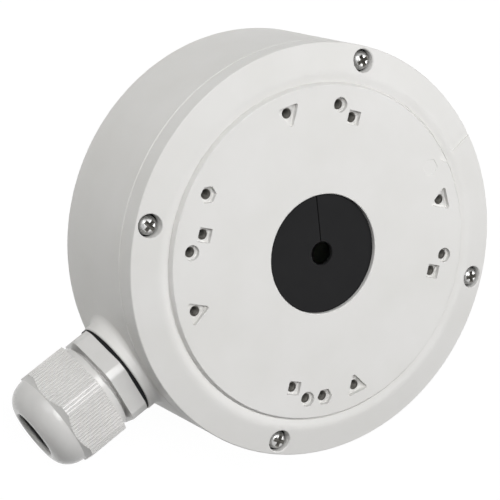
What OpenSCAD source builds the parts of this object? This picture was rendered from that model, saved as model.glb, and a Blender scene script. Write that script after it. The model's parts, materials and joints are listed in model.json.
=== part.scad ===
// Round camera junction box: a drafted cast cup, a cast lid with coded screw
// pockets, a rubber cable grommet and a nylon cable gland at the side.
// Millimetres. The back face lies on Z = 0, the lid faces +Z, the gland points to -Y.

/* [Housing] */
// Outer diameter at the seam with the lid
seam_d = 142.2; // [138:0.2:148]
// How much larger the radius is at the back face, for the casting's draft
cup_draft = 0.95; // [0.4:0.05:2]
// Height of the cup, from the back face to the seam
cup_h = 39.7; // [38.5:0.1:46]
// Wall thickness of the cup at the seam
cup_wall = 3.3; // [3:0.1:4]
// Thickness of the back
floor_t = 3.2; // [2.5:0.1:4.5]
// How much smaller the inside is at the back, for the casting's draft
inside_draft = 0.2; // [0:0.1:0.6]
// Radius on the back's outer edge
back_edge_r = 0.8; // [0.3:0.1:1.5]
// Radius of the cove between floor and wall
floor_cove_r = 2.5; // [1:0.5:4]
// Chamfer on both sides of the seam
seam_chamfer = 0.25; // [0.1:0.05:0.5]

/* [Lid] */
// Height from the seam to the face of the raised disc
lid_h = 10.7; // [9.8:0.1:13]
// How far the rim's front edge lies inside the seam
rim_inset = 0.1; // [0:0.05:0.6]
// Drop from the face to the front edge of the rim
rim_drop = 2.65; // [2:0.05:3.5]
// Width of the sloping border, from the front edge in to its highest ring
border_w = 9.5; // [8.5:0.1:11]
// Drop from the face to that crown
crown_drop = 1.05; // [0.6:0.05:1.3]
// Width of the trough between that ring and the disc's face
trough_w = 4.3; // [3.8:0.1:5]
// Drop from the face to the foot of the disc
disc_step = 1.4; // [1:0.1:1.9]
// How far the disc's side leans out
disc_lean = 0.9; // [0.4:0.1:1.2]
// Radius on the disc's edge
disc_edge_r = 0.45; // [0.2:0.05:0.6]
// Radius on the rim's front edge
rim_edge_r = 0.6; // [0.3:0.1:1]
// Thickness of the disc
disc_t = 3; // [2.6:0.1:3.6]
// Thickness of the sloping border
border_t = 3.1; // [2.8:0.1:3.6]
// Width of the mark at the top of the border
mark_w = 2.2; // [1.5:0.1:3]
// Depth of that mark
mark_depth = 0.35; // [0.2:0.05:0.6]
// Half width of the pointed notch in the disc's edge
notch_half_w = 3.1; // [2:0.1:4]
// How far the notch reaches in from the disc's edge
notch_reach = 1.9; // [1:0.1:2.5]

/* [Lid screws] */
// Distance of the lid screws from the seam's edge
screw_inset = 5.1; // [4.7:0.1:5.7]
// Shank diameter
shank_d = 4; // [3.5:0.1:4.2]
// Length under the head
shank_len = 16; // [12:0.5:20]
// Head diameter
head_d = 6.5; // [6:0.1:6.8]
// Head height
head_h = 2.6; // [2.2:0.1:3]
// Room round the head in its recess
head_room = 0.65; // [0.4:0.05:0.9]
// How far the head lies below the border
head_sink = 0.35; // [0:0.05:0.8]
// Thickness of the rubber ring under the head
ring_t = 1; // [0.8:0.1:1.3]
// Running clearance round the shank in the cup
shank_fit = 0.05; // [0.03:0.01:0.08]
// Room round the shank in the lid
lid_hole_room = 0.25; // [0.15:0.05:0.4]
// Radius of the screw bosses
boss_r = 4.7; // [4.4:0.1:5]
// Width of the cross recess's arms
cross_w = 1.1; // [0.8:0.1:1.3]
// Length across the cross recess
cross_len = 4; // [3.4:0.1:4.4]

/* [Camera screw pockets] */
// Diameter of the tapped holes, drawn plain
tap_d = 3.5; // [3:0.1:4]
// Depth of the tapped holes below their pockets
tap_depth = 6; // [4:0.5:6.5]
// Depth of the shaped pockets
pocket_depth = 1.7; // [1.2:0.1:1.9]
// Radius of the bosses under the lid
tap_boss_r = 3.7; // [3:0.1:4]
// Metal left below a tapped hole
tap_end_t = 1; // [0.6:0.1:1.5]
// Side of the square that the square pockets stand on
square_spacing = 66.2; // [64:0.2:68]
// Side of a square pocket
square_side = 4.7; // [4:0.1:5.2]
// Radius of the circle that the round pockets stand on
round_circle_r = 50.5; // [49:0.1:51.5]
// Turn of the round pockets from the X axis
round_turn = 52.2; // [51.6:0.1:54]
// Diameter of a round pocket
round_d = 5.1; // [4.4:0.1:5.6]
// Radius of the circle that the three-sided pockets stand on
tri_circle_r = 50.4; // [49:0.1:51.5]
// Turn of the three-sided pockets
tri_turn = 75; // [73:0.5:77]
// Side of a three-sided pocket, to its sharp corners
tri_side = 8.6; // [7.6:0.1:9]
// Corner radius of that pocket
tri_corner_r = 0.7; // [0.4:0.1:1]
// Radius of the circle that the six-sided pockets stand on
hex_circle_r = 50.4; // [49:0.1:51.5]
// Width across flats of a six-sided pocket
hex_flats = 5.2; // [4.6:0.1:5.8]
// Depth of the blank six-sided mark at the top
blank_depth = 0.15; // [0.1:0.05:0.3]

/* [Lid seal] */
// Width of the rubber seal
seal_w = 1.2; // [1:0.1:1.4]
// Depth of the groove in the cup's rim
seal_groove_depth = 1.1; // [0.9:0.1:1.5]
// Room at each side of the seal
seal_room = 0.1; // [0.05:0.05:0.15]

/* [Cable grommet] */
// Diameter of the opening in the lid
grommet_hole_d = 41.2; // [38:0.2:44]
// Depth of the grommet's face below the lid's face
grommet_sink = 1.2; // [0.8:0.1:1.5]
// Thickness of the grommet's rim on its ledge
grommet_rim_t = 1.3; // [1:0.1:1.6]
// Width of the ledge that carries it
ledge_w = 2; // [1.5:0.1:2.6]
// Thickness of that ledge
ledge_t = 1.5; // [1.2:0.1:2]
// Room between the grommet's neck and the lid
grommet_room = 0.2; // [0.1:0.05:0.3]
// Thickness of the lip behind the ledge
grommet_lip_t = 1.4; // [1:0.1:1.8]
// Thickness of the membrane
membrane_t = 1.6; // [1.2:0.1:2]
// Diameter of the cable hole
grommet_bore_d = 8.1; // [6:0.1:10]
// Width of the slit
slit_w = 0.35; // [0.25:0.05:0.6]
// Direction of the slit, from the X axis
slit_turn = 151; // [145:0.5:158]
// Depth of the slit where it crosses the rim
slit_rim_depth = 0.8; // [0.4:0.1:1]

/* [Gland boss] */
// Height of the gland's axis above the back face
gland_z = 20.8; // [20.4:0.1:21.2]
// How far the boss's face stands out from the seam
boss_reach = 3.6; // [1.7:0.1:5]
// Width of the boss's face round the gland's thread
boss_land = 4.7; // [4:0.1:5]
// How much the boss widens for each millimetre towards the wall
boss_flare = 0.4; // [0.2:0.05:0.8]
// Radius on the edge of the boss's face
boss_edge_r = 0.6; // [0.3:0.1:1]
// Diameter of the gland's entry thread, drawn plain
entry_d = 25; // [24:0.1:25.6]
// Clearance round the gland in the boss
entry_fit = 0.05; // [0.03:0.01:0.1]

/* [Cable gland] */
// Thickness of the flat gasket
gasket_t = 1.2; // [0.8:0.1:1.5]
// Length of the gland's thread in the boss
entry_len = 9; // [7:0.5:11]
// Width across flats of the fixed hexagon
flats = 33; // [32:0.5:34]
// Length of the fixed hexagon
hexagon_len = 6.3; // [5:0.1:7]
// Diameter over its cut corners
corner_d = 36; // [35:0.1:37]
// Outer diameter of the thread for the cap nut
neck_d = 27.6; // [27.2:0.1:28.2]
// Clearance between that thread and the cap nut
nut_fit = 0.05; // [0.03:0.01:0.1]
// Wall of the gland's tube
tube_wall = 3.4; // [3:0.1:3.6]
// Length of the threaded neck
neck_len = 15; // [14:0.5:16]
// Length of the clamping fingers
finger_len = 9; // [8:0.5:10]
// Number of clamping fingers
finger_count = 12; // [8:1:16]
// Width of the slots between them
finger_slot = 1.2; // [0.8:0.1:1.5]
// How far the fingers lean in at their tips
finger_lean = 1.2; // [0.8:0.1:1.6]
// Thickness of the rubber sleeve
sleeve_t = 2.1; // [1.8:0.1:2.5]

/* [Cap nut] */
// Gap between the fixed hexagon and the cap nut
nut_gap = 0.4; // [0.3:0.1:1.5]
// Length of the plain collar
collar_len = 3.3; // [1:0.1:4]
// Diameter of that collar
collar_d = 33; // [32:0.1:33.6]
// Width across flats over the ribs
nut_flats = 34.4; // [34:0.1:35]
// Diameter over the rounded corners
nut_corner_d = 37.6; // [36.6:0.1:38.4]
// Number of ribs, six times a whole number
rib_count = 96; // [72:6:120]
// Depth of the grooves between ribs
rib_depth = 0.35; // [0.2:0.05:0.5]
// Length from the collar to where the ribs run out
rib_len = 16.8; // [14:0.1:18]
// Diameter of the dome where it leaves the ribs
dome_d = 33.2; // [32.4:0.1:33.6]
// Radius of the dome's shoulder
dome_r = 6.4; // [5:0.1:7.5]
// Length of the whole nut
nut_len = 27.4; // [27.2:0.1:30]
// Diameter of the mouth for the cable
mouth_d = 16.8; // [15:0.1:18]
// Radius of the mouth's lip
mouth_r = 1; // [0.5:0.1:1.5]
// Thickness of the nut's end
nut_end_t = 3; // [2.5:0.1:3.5]

/* [Back] */
// Side of the square that the wall screws stand on
wall_spacing = 72; // [68:1:76]
// Diameter of the wall screw holes
wall_hole_d = 5; // [4:0.1:5.5]
// Radius of the pads round those holes
pad_r = 6; // [5:0.1:7]
// Height of the pads above the floor
pad_h = 1.4; // [1:0.1:2]
// Diameter of the rear cable entry
rear_d = 22; // [18:0.5:28]
// Width of the ledge behind the plug's flange
rear_ledge = 2.5; // [2:0.1:3]
// Thickness of the plug's flange
plug_flange_t = 1.1; // [0.8:0.1:1.3]
// Wall of the plug's cup
plug_wall = 1.8; // [1.4:0.1:2.4]
// How far the plug's lip grips past its hole
plug_grip = 0.9; // [0.5:0.1:1.3]
// Length of that lip
plug_lip = 2.4; // [2:0.1:3]

/* [Earth screw] */
// Distance from the foot of the cup's inner wall
earth_inset = 11.6; // [9.5:0.1:14]
// Its direction, from the X axis
earth_turn = 180; // [172:1:188]
// Height of its post above the floor
earth_post_h = 6; // [5:0.5:9]
// Radius of its post
earth_post_r = 4.2; // [3.8:0.1:5]
// Diameter of the earth screw
earth_d = 4; // [3.5:0.1:4]
// Length of the earth screw in its post
earth_len = 5; // [4:0.5:5]
// Diameter of its head
earth_head_d = 7.6; // [7:0.1:8]
// Height of its head
earth_head_h = 2.4; // [2:0.1:3]
// Diameter of its washer
earth_washer_d = 9; // [8.4:0.1:10]
// Thickness of its washer
earth_washer_t = 0.9; // [0.6:0.1:1.2]

/* [Hidden] */
$fn = 96;
eps = 0.02;
total_h = cup_h + lid_h;
seam_r = seam_d / 2;
back_r = seam_r + cup_draft;
rim_r = seam_r - rim_inset;
crown_r = rim_r - border_w;
disc_r = crown_r - trough_w;
foot_r = disc_r + disc_lean;
inner_r = seam_r - cup_wall;
screw_circle_r = seam_r - screw_inset;
boss_face = seam_r + boss_reach;
boss_face_r = entry_d / 2 + boss_land;
earth_r = inner_r - inside_draft - earth_inset;
seal_r = seam_r - cup_wall / 2;
rim_z = total_h - rim_drop;
crown_z = total_h - crown_drop;
foot_z = total_h - disc_step;
border_slope = (crown_z - rim_z) / (rim_r - rim_edge_r - crown_r);
function border_z(r) = crown_z - (r - crown_r) * border_slope;
head_top_z = border_z(screw_circle_r) - head_sink;
head_z = head_top_z - head_h;
ring_z = head_z - ring_t;
recess_r = head_d / 2 + head_room;
pocket_z = total_h - pocket_depth;
disc_under_z = total_h - disc_t;
tap_end_z = pocket_z - tap_depth - tap_end_t;
ledge_z = total_h - grommet_sink - grommet_rim_t;
ledge_under_z = ledge_z - ledge_t;
grommet_hole_r = grommet_hole_d / 2;
ledge_r = grommet_hole_r - ledge_w;
bore_r = entry_d / 2 + entry_fit;
hexagon_z = gasket_t;
neck_z = hexagon_z + hexagon_len;
finger_z = neck_z + neck_len;
tip_z = finger_z + finger_len;
nut_z = neck_z + nut_gap;
rib_z = nut_z + collar_len;
rib_end_z = rib_z + rib_len;
mouth_z = nut_z + nut_len;
tube_r = neck_d / 2 - tube_wall;
sleeve_r = tube_r - sleeve_t;
nut_bore_r = neck_d / 2 + nut_fit;
pad_z = floor_t + pad_h;
post_z = floor_t + earth_post_h;
screw_angles = [45, 135, 225, 315];
quarter = [0, 90, 180, 270];

// colours
cast_white = [0.90, 0.90, 0.88];
nylon_grey = [0.78, 0.78, 0.77];
rubber_black = [0.10, 0.10, 0.10];
steel = [0.72, 0.72, 0.72];

// points on an arc about [x, y] from angle a to angle b
function arc(x, y, r, a, b, n = 6) =
  [for (i = [0:n]) [x + r * cos(a + (b - a) * i / n), y + r * sin(a + (b - a) * i / n)]];

// put a piece that is drawn along +Z on the gland's axis, 0 being the boss's face
module on_gland_axis() {
  translate([0, -boss_face, gland_z]) rotate([90, 0, 0]) children();
}

module at_screws() {
  for (a = screw_angles) rotate([0, 0, a]) translate([screw_circle_r, 0, 0]) children();
}

module at_corners(side) {
  for (x = [-1, 1], y = [-1, 1]) translate([x * side / 2, y * side / 2, 0]) children();
}

module cross_recess(arm, across, depth) {
  for (a = [0, 90]) rotate([0, 0, a])
    translate([-across / 2, -arm / 2, -depth]) cube([across, arm, depth + 1]);
  translate([0, 0, -depth]) cylinder(r1 = arm * 0.45, r2 = arm * 1.25, h = depth + 0.01);
}

// pan head with a domed edge, its underside on z = 0
module pan_head(d, h) {
  rotate_extrude() polygon(concat([[0, 0], [d / 2, 0]],
    arc(d / 2 - h * 0.6, h * 0.4, h * 0.6, 0, 90, 5), [[0, h]]));
}

// housing and what stays in it

// outer form of the cup, still solid
module cup_blank() {
  rotate_extrude() polygon(concat(
    [[0, 0]],
    arc(back_r - back_edge_r, back_edge_r, back_edge_r, 270, 360, 4),
    [[seam_r, cup_h - seam_chamfer], [seam_r - seam_chamfer, cup_h], [0, cup_h]]));
}

// what the casting core takes out, with the bosses, pads and earth post left standing
module cup_hollow() {
  difference() {
    rotate_extrude() polygon(concat(
      [[0, floor_t]],
      arc(inner_r - inside_draft - floor_cove_r, floor_t + floor_cove_r, floor_cove_r,
        270, 360, 5),
      [[inner_r, cup_h], [inner_r, cup_h + 1], [0, cup_h + 1]]));
    at_screws() cylinder(r = boss_r, h = cup_h + 5);
    at_corners(wall_spacing) cylinder(r = pad_r, h = pad_z);
    rotate([0, 0, earth_turn]) translate([earth_r, 0, 0]) cylinder(r = earth_post_r, h = post_z);
  }
}

module gland_boss() {
  // deep enough to end inside the wall all round the face
  deep = boss_face - sqrt(inner_r * inner_r - boss_face_r * boss_face_r) - cup_wall / 2;
  intersection() {
    on_gland_axis() rotate_extrude() polygon(concat(
      [[0, -deep], [boss_face_r + boss_flare * deep, -deep]],
      arc(boss_face_r - boss_edge_r, -boss_edge_r, boss_edge_r, 0, 90, 4),
      [[0, 0]]));
    translate([0, 0, back_edge_r + 0.5]) difference() {
      cylinder(r = boss_face + 5, h = cup_h - seam_chamfer - back_edge_r - 0.8);
      translate([0, 0, -1]) cylinder(r = inner_r + cup_wall * 0.4, h = cup_h + 2);
    }
  }
}

module housing() {
  color(cast_white) difference() {
    union() {
      cup_blank();
      gland_boss();
    }
    cup_hollow();
    // lid screws, seal groove, gland, wall screws, rear entry and earth screw
    at_screws() translate([0, 0, head_z - shank_len - 2])
      cylinder(r = shank_d / 2 + shank_fit, h = cup_h);
    translate([0, 0, cup_h - seal_groove_depth]) difference() {
      cylinder(r = seal_r + seal_w / 2 + seal_room, h = 5);
      translate([0, 0, -1]) cylinder(r = seal_r - seal_w / 2 - seal_room, h = 7);
    }
    on_gland_axis() translate([0, 0, -boss_face + inner_r - entry_len]) cylinder(r = bore_r,
      h = boss_face - inner_r + entry_len + 2);
    at_corners(wall_spacing) translate([0, 0, -1]) cylinder(r = wall_hole_d / 2, h = 20);
    translate([0, 0, -1]) cylinder(r = rear_d / 2, h = 20);
    translate([0, 0, -1]) cylinder(r = rear_d / 2 + rear_ledge, h = 1 + plug_flange_t + 0.1);
    rotate([0, 0, earth_turn]) translate([earth_r, 0, post_z - earth_len - 0.5])
      cylinder(r = earth_d / 2 + shank_fit, h = 20);
  }
}

module rear_plug() {
  top = floor_t + plug_lip;
  r = rear_d / 2 - 0.1;
  color(rubber_black) rotate_extrude() polygon([
    [0, 0.1], [r + rear_ledge - 0.1, 0.1], [r + rear_ledge - 0.1, plug_flange_t + 0.1],
    [r, plug_flange_t + 0.1], [r, floor_t], [r + plug_grip, floor_t],
    [r + plug_grip * 0.6, top - 0.6], [r - 0.4, top], [r - plug_wall, top],
    [r - plug_wall, plug_flange_t + 0.8], [0, plug_flange_t + 0.8]]);
}

module earth_washer() {
  color(steel) rotate([0, 0, earth_turn]) translate([earth_r, 0, post_z]) difference() {
    cylinder(d = earth_washer_d, h = earth_washer_t);
    translate([0, 0, -1]) cylinder(d = earth_d + 0.3, h = 4);
  }
}

module earth_screw() {
  color(steel) rotate([0, 0, earth_turn]) translate([earth_r, 0, post_z + earth_washer_t])
  difference() {
    union() {
      pan_head(earth_head_d, earth_head_h);
      translate([0, 0, -earth_washer_t - earth_len])
        cylinder(d = earth_d, h = earth_washer_t + earth_len + eps);
    }
    translate([0, 0, earth_head_h]) cross_recess(cross_w, cross_len, 1.5);
  }
}

module lid_seal() {
  color(rubber_black) translate([0, 0, cup_h - seal_groove_depth]) difference() {
    cylinder(r = seal_r + seal_w / 2, h = seal_groove_depth);
    translate([0, 0, -1]) cylinder(r = seal_r - seal_w / 2, h = seal_groove_depth + 2);
  }
}

// lid and what lifts with it

// outer form of the lid, still solid
module lid_blank() {
  rotate_extrude() polygon(concat(
    [[0, cup_h], [seam_r - seam_chamfer, cup_h], [seam_r, cup_h + seam_chamfer]],
    arc(rim_r - rim_edge_r, rim_z - rim_edge_r, rim_edge_r, 0, 80, 4),
    [[crown_r + 1.5, border_z(crown_r + 1.5)], [crown_r, crown_z - 0.08],
      [crown_r - 1.5, crown_z - 0.16], [foot_r + 0.3, foot_z], [foot_r, foot_z]],
    arc(disc_r - disc_edge_r * 0.4, total_h - disc_edge_r, disc_edge_r, 30, 90, 4),
    [[0, total_h]]));
}

// the hollow underside, with the bosses and the ring that carries the grommet left standing
module lid_hollow() {
  skirt_r = seam_r - cup_wall;
  border_under_z = border_z(skirt_r) - border_t;
  difference() {
    rotate_extrude() polygon([
      [0, cup_h - 1], [skirt_r, cup_h - 1], [skirt_r - 0.3, border_under_z - 1],
      [skirt_r - 1.3, border_under_z], [foot_r - 0.5, border_under_z + 0.8],
      [foot_r - 2.5, disc_under_z], [grommet_hole_r + 3, disc_under_z],
      [grommet_hole_r + 2.2, ledge_under_z], [0, ledge_under_z]]);
    at_screws() cylinder(r = boss_r, h = total_h);
    at_taps() translate([0, 0, tap_end_z]) cylinder(r = tap_boss_r, h = total_h);
  }
}

module square_pocket() { rotate([0, 0, 45]) square(square_side, center = true); }
module round_pocket() { circle(d = round_d); }
module hex_pocket() { circle(d = hex_flats / cos(30), $fn = 6); }

// a triangle with round corners, one corner pointing to the box's axis
module tri_pocket() {
  reach = tri_side / sqrt(3) - 2 * tri_corner_r;
  polygon([for (k = [0:2]) for (p = arc(reach * cos(180 + 120 * k), reach * sin(180 + 120 * k),
    tri_corner_r, 120 + 120 * k, 240 + 120 * k, 4)) p]);
}

module at_rounds() {
  for (a = quarter) rotate([0, 0, round_turn + a]) translate([round_circle_r, 0, 0]) children();
}
module at_triangles() {
  for (a = quarter) rotate([0, 0, tri_turn + a]) translate([tri_circle_r, 0, 0]) children();
}
module at_hexes() {
  for (a = [210, 330]) translate([hex_circle_r * cos(a), hex_circle_r * sin(a), 0]) children();
}
module at_taps() {
  at_corners(square_spacing) children();
  at_rounds() children();
  at_triangles() children();
  at_hexes() children();
}

module lid() {
  color(cast_white) difference() {
    lid_blank();
    lid_hollow();
    // lid screws with their recesses
    at_screws() translate([0, 0, cup_h - 1]) cylinder(r = shank_d / 2 + lid_hole_room, h = 20);
    at_screws() translate([0, 0, ring_z]) cylinder(r = recess_r, h = 10);
    // camera screws: shaped pockets over blind tapped holes
    at_taps() translate([0, 0, pocket_z - tap_depth]) cylinder(d = tap_d, h = tap_depth + 1);
    translate([0, 0, pocket_z]) linear_extrude(5) {
      at_corners(square_spacing) square_pocket();
      at_rounds() round_pocket();
      at_triangles() tri_pocket();
      at_hexes() hex_pocket();
    }
    translate([0, hex_circle_r, total_h - blank_depth]) linear_extrude(1) hex_pocket();
    // grommet opening with its ledge
    translate([0, 0, ledge_z]) cylinder(r = grommet_hole_r, h = 10);
    translate([0, 0, ledge_under_z - 1]) cylinder(r = ledge_r, h = 10);
    // notch in the disc's edge and mark on the border, both at the top
    translate([0, disc_r - notch_reach, foot_z]) linear_extrude(5)
      polygon([[0, 0], [notch_half_w, notch_reach], [notch_half_w + 1, notch_reach + 3],
        [-notch_half_w - 1, notch_reach + 3], [-notch_half_w, notch_reach]]);
    translate([-mark_w / 2, 0, 0]) rotate([90, 0, 90]) linear_extrude(mark_w)
      polygon([[crown_r, border_z(crown_r) - mark_depth],
        [rim_r + 1, border_z(rim_r + 1) - mark_depth], [rim_r + 1, total_h], [crown_r, total_h]]);
  }
}

module cable_grommet() {
  face_z = total_h - grommet_sink;
  neck_r = ledge_r - grommet_room;
  lip_z = ledge_under_z - grommet_lip_t;
  color(rubber_black) difference() {
    rotate_extrude() polygon([
      [grommet_bore_d / 2, face_z - membrane_t], [grommet_bore_d / 2, face_z],
      [grommet_hole_r - 0.3, face_z], [grommet_hole_r - 0.1, face_z - 0.2],
      [grommet_hole_r - 0.1, ledge_z], [neck_r, ledge_z], [neck_r, ledge_under_z],
      [grommet_hole_r - 0.2, ledge_under_z], [grommet_hole_r - 0.8, lip_z],
      [neck_r - 1.8, lip_z], [neck_r - 1.8, face_z - membrane_t]]);
    // slit from the cable hole to the grommet's edge, deep in the membrane and shallow in the rim
    rotate([0, 0, slit_turn]) translate([0, -slit_w / 2, face_z - membrane_t - 1])
      cube([neck_r - 2.4, slit_w, 5]);
    rotate([0, 0, slit_turn]) translate([0, -slit_w / 2, face_z - slit_rim_depth])
      cube([grommet_hole_r - 0.6, slit_w, 5]);
  }
}

module lid_screw(i) {
  color(steel) rotate([0, 0, screw_angles[i - 1]]) translate([screw_circle_r, 0, head_z])
  difference() {
    union() {
      pan_head(head_d, head_h);
      translate([0, 0, -shank_len]) cylinder(d1 = shank_d - 1, d2 = shank_d, h = 1);
      translate([0, 0, 1 - shank_len]) cylinder(d = shank_d, h = shank_len - 1 + eps);
    }
    translate([0, 0, head_h]) rotate([0, 0, 20 * i]) cross_recess(cross_w, cross_len, 1.6);
  }
}

module screw_ring(i) {
  color(rubber_black) rotate([0, 0, screw_angles[i - 1]]) translate([screw_circle_r, 0, ring_z])
  difference() {
    cylinder(r = recess_r - 0.1, h = ring_t);
    translate([0, 0, -1]) cylinder(r = shank_d / 2 + 0.1, h = ring_t + 2);
  }
}

// cable gland

// a hexagon with its corners cut round, one corner turned to the front left
module cut_hexagon(across, corners) {
  intersection() {
    rotate([0, 0, 116]) circle(d = across / cos(30), $fn = 6);
    circle(d = corners);
  }
}

module gland_gasket() {
  color(rubber_black) on_gland_axis() difference() {
    cylinder(r = boss_face_r - boss_edge_r, h = gasket_t);
    translate([0, 0, -1]) cylinder(r = bore_r, h = gasket_t + 2);
  }
}

module gland_body() {
  color(nylon_grey) on_gland_axis() difference() {
    union() {
      translate([0, 0, -entry_len]) cylinder(d1 = entry_d - 2, d2 = entry_d, h = 1);
      translate([0, 0, 1 - entry_len]) cylinder(d = entry_d, h = entry_len - 1 + hexagon_z + eps);
      translate([0, 0, hexagon_z]) linear_extrude(hexagon_len) cut_hexagon(flats, corner_d);
      translate([0, 0, neck_z - eps]) cylinder(d = neck_d, h = neck_len + eps);
      translate([0, 0, finger_z - eps]) cylinder(d1 = neck_d - 1.2, d2 = neck_d - 1.2 - 2 * finger_lean,
        h = finger_len + eps);
    }
    translate([0, 0, -entry_len - 1]) cylinder(r = tube_r, h = tip_z + entry_len + 2);
    for (i = [0:finger_count - 1]) rotate([0, 0, (i + 0.5) * 360 / finger_count])
      translate([tube_r - 1, -finger_slot / 2, finger_z]) cube([tube_wall + 2, finger_slot, finger_len + 1]);
  }
}

module gland_sleeve() {
  color(rubber_black) on_gland_axis() translate([0, 0, neck_z + 2]) difference() {
    cylinder(r = tube_r, h = tip_z - neck_z - 2.5);
    translate([0, 0, -1]) cylinder(r = sleeve_r, h = tip_z - neck_z);
  }
}

// outline of the ribbed part: a hexagon with cut corners, grooved all round
function hex_reach(a) = min(nut_flats / 2 / cos(((a % 60) + 60) % 60 - 30), nut_corner_d / 2);
rib_outline = [for (i = [0:rib_count - 1]) for (k = [0:3])
  let (a = (i + [0.0, 0.3, 0.5, 0.8][k]) * 360 / rib_count,
    r = hex_reach(a) - (k < 2 ? 0 : rib_depth)) [r * cos(a), r * sin(a)]];

module gland_nut() {
  shoulder_x = dome_d / 2 - dome_r;
  inside_z = mouth_z - nut_end_t;
  color(nylon_grey) on_gland_axis() difference() {
    union() {
      translate([0, 0, nut_z]) cylinder(d = collar_d, h = collar_len + eps);
      intersection() {
        rotate([0, 0, 116]) translate([0, 0, rib_z]) linear_extrude(rib_len) polygon(rib_outline);
        rotate_extrude() polygon([[0, rib_z - 1], [nut_corner_d / 2 + 1, rib_z - 1],
          [nut_corner_d / 2 + 1, rib_end_z - nut_corner_d / 2 + dome_d / 2 - 1.4],
          [dome_d / 2 - 0.3, rib_end_z - 0.1], [0, rib_end_z - 0.1]]);
      }
      rotate_extrude() polygon(concat(
        [[0, rib_z + 1], [dome_d / 2, rib_z + 1], [dome_d / 2, rib_end_z - 1]],
        arc(shoulder_x, mouth_z - dome_r, dome_r, 0, 90, 8),
        arc(mouth_d / 2 + mouth_r, mouth_z - mouth_r, mouth_r, 90, 180, 4),
        [[mouth_d / 2, rib_z + 2], [0, rib_z + 2]]));
    }
    // thread for the gland's neck, then room for the fingers, narrowing to the mouth
    rotate_extrude() polygon([
      [0, nut_z - 1], [nut_bore_r, nut_z - 1], [nut_bore_r, finger_z + 0.4],
      [nut_bore_r - 0.3, tip_z - 2], [tube_r + 2.4, inside_z], [mouth_d / 2, inside_z + 0.6],
      [mouth_d / 2, mouth_z - mouth_r], [0, mouth_z - mouth_r]]);
  }
}

housing();
rear_plug();
earth_screw();
earth_washer();
lid_seal();
gland_gasket();
gland_body();
gland_sleeve();
gland_nut();
lid();
cable_grommet();
lid_screw(1);  // lid_screw_1
lid_screw(2);  // lid_screw_2
lid_screw(3);  // lid_screw_3
lid_screw(4);  // lid_screw_4
screw_ring(1);  // screw_ring_1
screw_ring(2);  // screw_ring_2
screw_ring(3);  // screw_ring_3
screw_ring(4);  // screw_ring_4
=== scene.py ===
# Round camera junction box: white cast cup and lid, coded camera screw pockets,
# a black cable grommet and a grey nylon cable gland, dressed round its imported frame.
import json
import math
import bmesh
import bpy
from mathutils import Matrix, Vector

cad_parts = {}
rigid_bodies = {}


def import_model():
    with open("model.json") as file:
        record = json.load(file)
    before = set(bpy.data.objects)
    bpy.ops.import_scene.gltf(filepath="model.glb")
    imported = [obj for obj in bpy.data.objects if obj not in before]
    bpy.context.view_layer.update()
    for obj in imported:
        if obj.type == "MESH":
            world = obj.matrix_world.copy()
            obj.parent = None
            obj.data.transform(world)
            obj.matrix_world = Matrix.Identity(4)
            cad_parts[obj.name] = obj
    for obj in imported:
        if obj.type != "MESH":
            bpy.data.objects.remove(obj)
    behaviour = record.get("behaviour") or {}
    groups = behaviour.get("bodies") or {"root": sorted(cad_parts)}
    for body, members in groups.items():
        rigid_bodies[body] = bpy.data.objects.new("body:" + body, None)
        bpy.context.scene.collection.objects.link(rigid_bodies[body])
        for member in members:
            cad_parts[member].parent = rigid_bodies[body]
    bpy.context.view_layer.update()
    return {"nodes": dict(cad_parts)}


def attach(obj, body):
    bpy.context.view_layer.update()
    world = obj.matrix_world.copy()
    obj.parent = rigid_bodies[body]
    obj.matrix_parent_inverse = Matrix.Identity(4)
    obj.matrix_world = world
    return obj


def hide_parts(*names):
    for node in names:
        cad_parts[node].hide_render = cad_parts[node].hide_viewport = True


for leftover in list(bpy.data.objects):  # an empty file before the frame comes in
    bpy.data.objects.remove(leftover, do_unlink=True)
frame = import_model()
scene = bpy.context.scene
mm = 0.001
sharpAngle = math.radians(32)  # edges sharper than this stay crisp
print("frame loaded:", len(frame["nodes"]), "nodes")


def toLinear(hexCode):
    parts = [int(hexCode[i:i + 2], 16) / 255 for i in (1, 3, 5)]
    return tuple(v / 12.92 if v <= 0.04045 else ((v + 0.055) / 1.055) ** 2.4 for v in parts) + (1.0,)


def addNode(tree, kind, settings=None, links=None):
    # a setting is an attribute of the node or the value of an input; a link feeds an input
    node = tree.nodes.new(kind)
    for key, value in (settings or {}).items():
        if isinstance(key, str) and hasattr(node, key):
            setattr(node, key, value)
        else:
            node.inputs[key].default_value = value
    for key, source in (links or {}).items():
        tree.links.new(source, node.inputs[key])
    return node


def newObject(name, mesh):
    piece = bpy.data.objects.new(name, mesh)
    scene.collection.objects.link(piece)
    return piece


def settled(piece):
    # the piece with its modifiers made part of a plain mesh
    bpy.context.view_layer.update()
    evaluated = piece.evaluated_get(bpy.context.evaluated_depsgraph_get())
    mesh = bpy.data.meshes.new_from_object(evaluated, depsgraph=bpy.context.evaluated_depsgraph_get())
    piece.modifiers.clear()
    mesh.name = piece.name
    piece.data = mesh
    return piece


def roundedLoop(corners, steps=5):
    # a closed outline; a corner given as (x, y, radius) becomes an arc
    loop = []
    for i, corner in enumerate(corners):
        here = Vector(corner[:2])
        radius = corner[2] if len(corner) > 2 else 0
        if radius <= 0:
            loop.append(here)
            continue
        back = (Vector(corners[i - 1][:2]) - here).normalized()
        ahead = (Vector(corners[(i + 1) % len(corners)][:2]) - here).normalized()
        half = back.angle(ahead) / 2
        centre = here + (back + ahead).normalized() * (radius / math.sin(half))
        start = here + back * (radius / math.tan(half)) - centre
        end = here + ahead * (radius / math.tan(half)) - centre
        turn = math.atan2(start.x * end.y - start.y * end.x, start.dot(end))
        for s in range(steps + 1):
            a = turn * s / steps
            loop.append(centre + Vector((start.x * math.cos(a) - start.y * math.sin(a),
                                         start.x * math.sin(a) + start.y * math.cos(a))))
    return loop


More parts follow.
